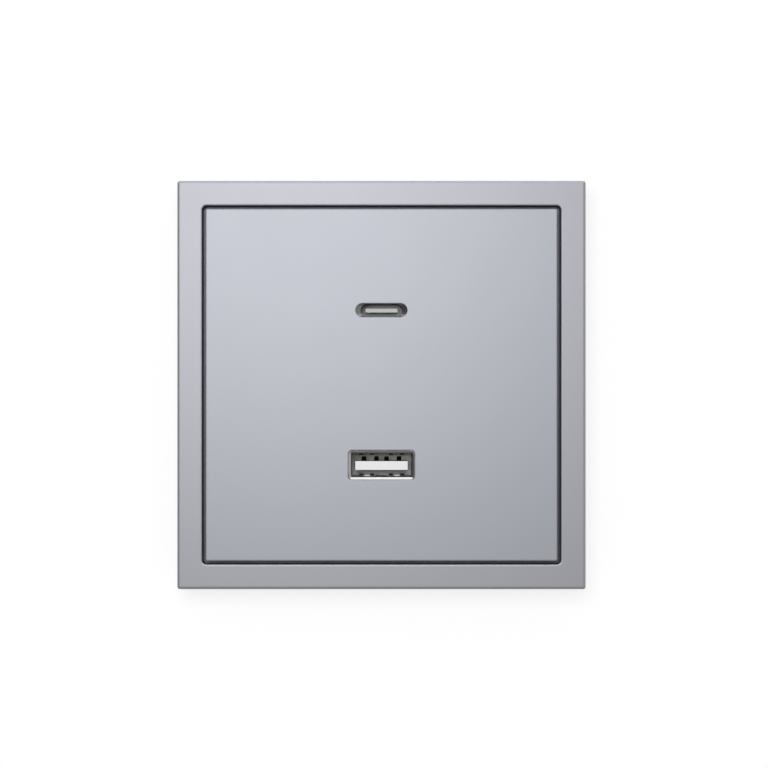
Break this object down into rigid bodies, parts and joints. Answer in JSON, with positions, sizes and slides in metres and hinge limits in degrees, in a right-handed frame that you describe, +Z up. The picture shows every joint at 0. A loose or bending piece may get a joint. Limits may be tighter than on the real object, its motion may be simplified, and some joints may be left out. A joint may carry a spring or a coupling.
{
  "type": "usb wall socket",
  "caption": "Square flush wall socket with a USB type C port over a USB type A port, in a satin metal cover plate and frame, on a wall-box insert with expanding claws.",
  "frame": {"origin": "midway between the two box screw holes, on the wall's surface", "axes": "-Y out of the wall towards the viewer, +Z up, +X to the viewer's right"},
  "size_m": [0.081, 0.0405, 0.081],
  "materials": {
    "frame_metal": "satin, bead blasted and anodised",
    "plate_metal": "satin, bead blasted and anodised",
    "carrier_plastic": "moulded, dark",
    "ring_steel": "zinc plated",
    "front_plastic": "moulded, anthracite",
    "rear_plastic": "moulded, light grey",
    "screw_steel": "zinc plated",
    "claw_steel": "zinc plated, pressed",
    "port_steel": "nickel plated",
    "port_white": "moulded, white",
    "port_grey": "moulded, light grey",
    "contact_gold": "gold plated",
    "board_laminate": "glass laminate with solder mask",
    "ferrite": "sintered",
    "bobbin_plastic": "moulded, black",
    "winding_tape": "taped",
    "copper_wire": "enamelled copper",
    "capacitor_sleeve": "shrunk sleeve",
    "film_capacitor": "boxed film",
    "varistor_coat": "dipped coating",
    "fuse_body": "ceramic tube with metal caps",
    "chip_resin": "moulded resin",
    "terminal_plastic": "moulded, pale grey",
    "busbar_brass": "stamped",
    "spring_steel": "stainless spring strip",
    "button_orange": "moulded, orange"
  },
  "bodies": {
    "insert": {"cover_frame": "frame_metal", "cover_plate": "plate_metal", "cover_carrier": "carrier_plastic", "support_ring": "ring_steel", "housing_front": "front_plastic", "housing_rear": "rear_plastic", "housing_screws": "screw_steel", "circuit_board": "board_laminate", "usb_a_shell": "port_steel", "usb_a_insulator": "port_white", "usb_a_contacts": "contact_gold", "usb_c_shell": "port_steel", "usb_c_insulator": "port_grey", "usb_c_contacts": "contact_gold", "transformer_core": "ferrite", "transformer_bobbin": "bobbin_plastic", "transformer_winding": "winding_tape", "bulk_capacitor": "capacitor_sleeve", "output_capacitor": "capacitor_sleeve", "suppression_capacitor": "film_capacitor", "choke_core": "ferrite", "choke_winding": "copper_wire", "varistor": "varistor_coat", "fuse": "fuse_body", "bridge_rectifier": "chip_resin", "optocoupler": "chip_resin", "charge_controller": "chip_resin", "output_inductor": "ferrite", "terminal_block_live": "terminal_plastic", "busbar_live": "busbar_brass", "clamp_spring_live": "spring_steel", "terminal_block_neutral": "terminal_plastic", "busbar_neutral": "busbar_brass", "clamp_spring_neutral": "spring_steel"},
    "release_button_live": {"release_button_live": "button_orange"},
    "release_button_neutral": {"release_button_neutral": "button_orange"},
    "claw_left": {"claw_left": "claw_steel"},
    "claw_screw_left": {"claw_screw_left": "screw_steel"},
    "claw_nut_left": {"claw_nut_left": "screw_steel"},
    "claw_right": {"claw_right": "claw_steel"},
    "claw_screw_right": {"claw_screw_right": "screw_steel"},
    "claw_nut_right": {"claw_nut_right": "screw_steel"}
  },
  "joints": [
    {"name": "claw_nut_left_climb", "type": "slide", "parent": "insert", "child": "claw_nut_left", "axis": [0, -1, 0], "range_m": [0, 0.0028]},
    {"name": "claw_screw_left_turn", "type": "hinge", "parent": "insert", "child": "claw_screw_left", "pos_m": [-0.021, -0.001, 0], "axis": [0, 1, 0], "range_deg": [0, 2013.97]},
    {"name": "claw_left_spread", "type": "hinge", "parent": "insert", "child": "claw_left", "pos_m": [-0.0165, 0.0016, 0], "axis": [0, 0, 1], "range_deg": [0, 29.02]},
    {"name": "claw_nut_right_climb", "type": "slide", "parent": "insert", "child": "claw_nut_right", "axis": [0, -1, 0], "range_m": [0, 0.0028]},
    {"name": "claw_screw_right_turn", "type": "hinge", "parent": "insert", "child": "claw_screw_right", "pos_m": [0.021, -0.001, 0], "axis": [0, 1, 0], "range_deg": [0, 2013.97]},
    {"name": "claw_right_spread", "type": "hinge", "parent": "insert", "child": "claw_right", "pos_m": [0.0165, 0.0016, 0], "axis": [0, 0, -1], "range_deg": [0, 29.02]},
    {"name": "release_button_live_press", "type": "slide", "parent": "insert", "child": "release_button_live", "axis": [0, -1, 0], "range_m": [0, 0.0018], "stiffness_N_per_m": 1500, "deforming": ["clamp_spring_live"]},
    {"name": "release_button_neutral_press", "type": "slide", "parent": "insert", "child": "release_button_neutral", "axis": [0, -1, 0], "range_m": [0, 0.0018], "stiffness_N_per_m": 1500, "deforming": ["clamp_spring_neutral"]}
  ],
  "couplings": [
    {"joint": "claw_screw_left_turn", "follows": "claw_nut_left_climb", "rad_per_m": 12566},
    {"joint": "claw_left_spread", "follows": "claw_nut_left_climb", "rad_per_m": 180.97},
    {"joint": "claw_screw_right_turn", "follows": "claw_nut_right_climb", "rad_per_m": 12566},
    {"joint": "claw_right_spread", "follows": "claw_nut_right_climb", "rad_per_m": 180.97}
  ]
}
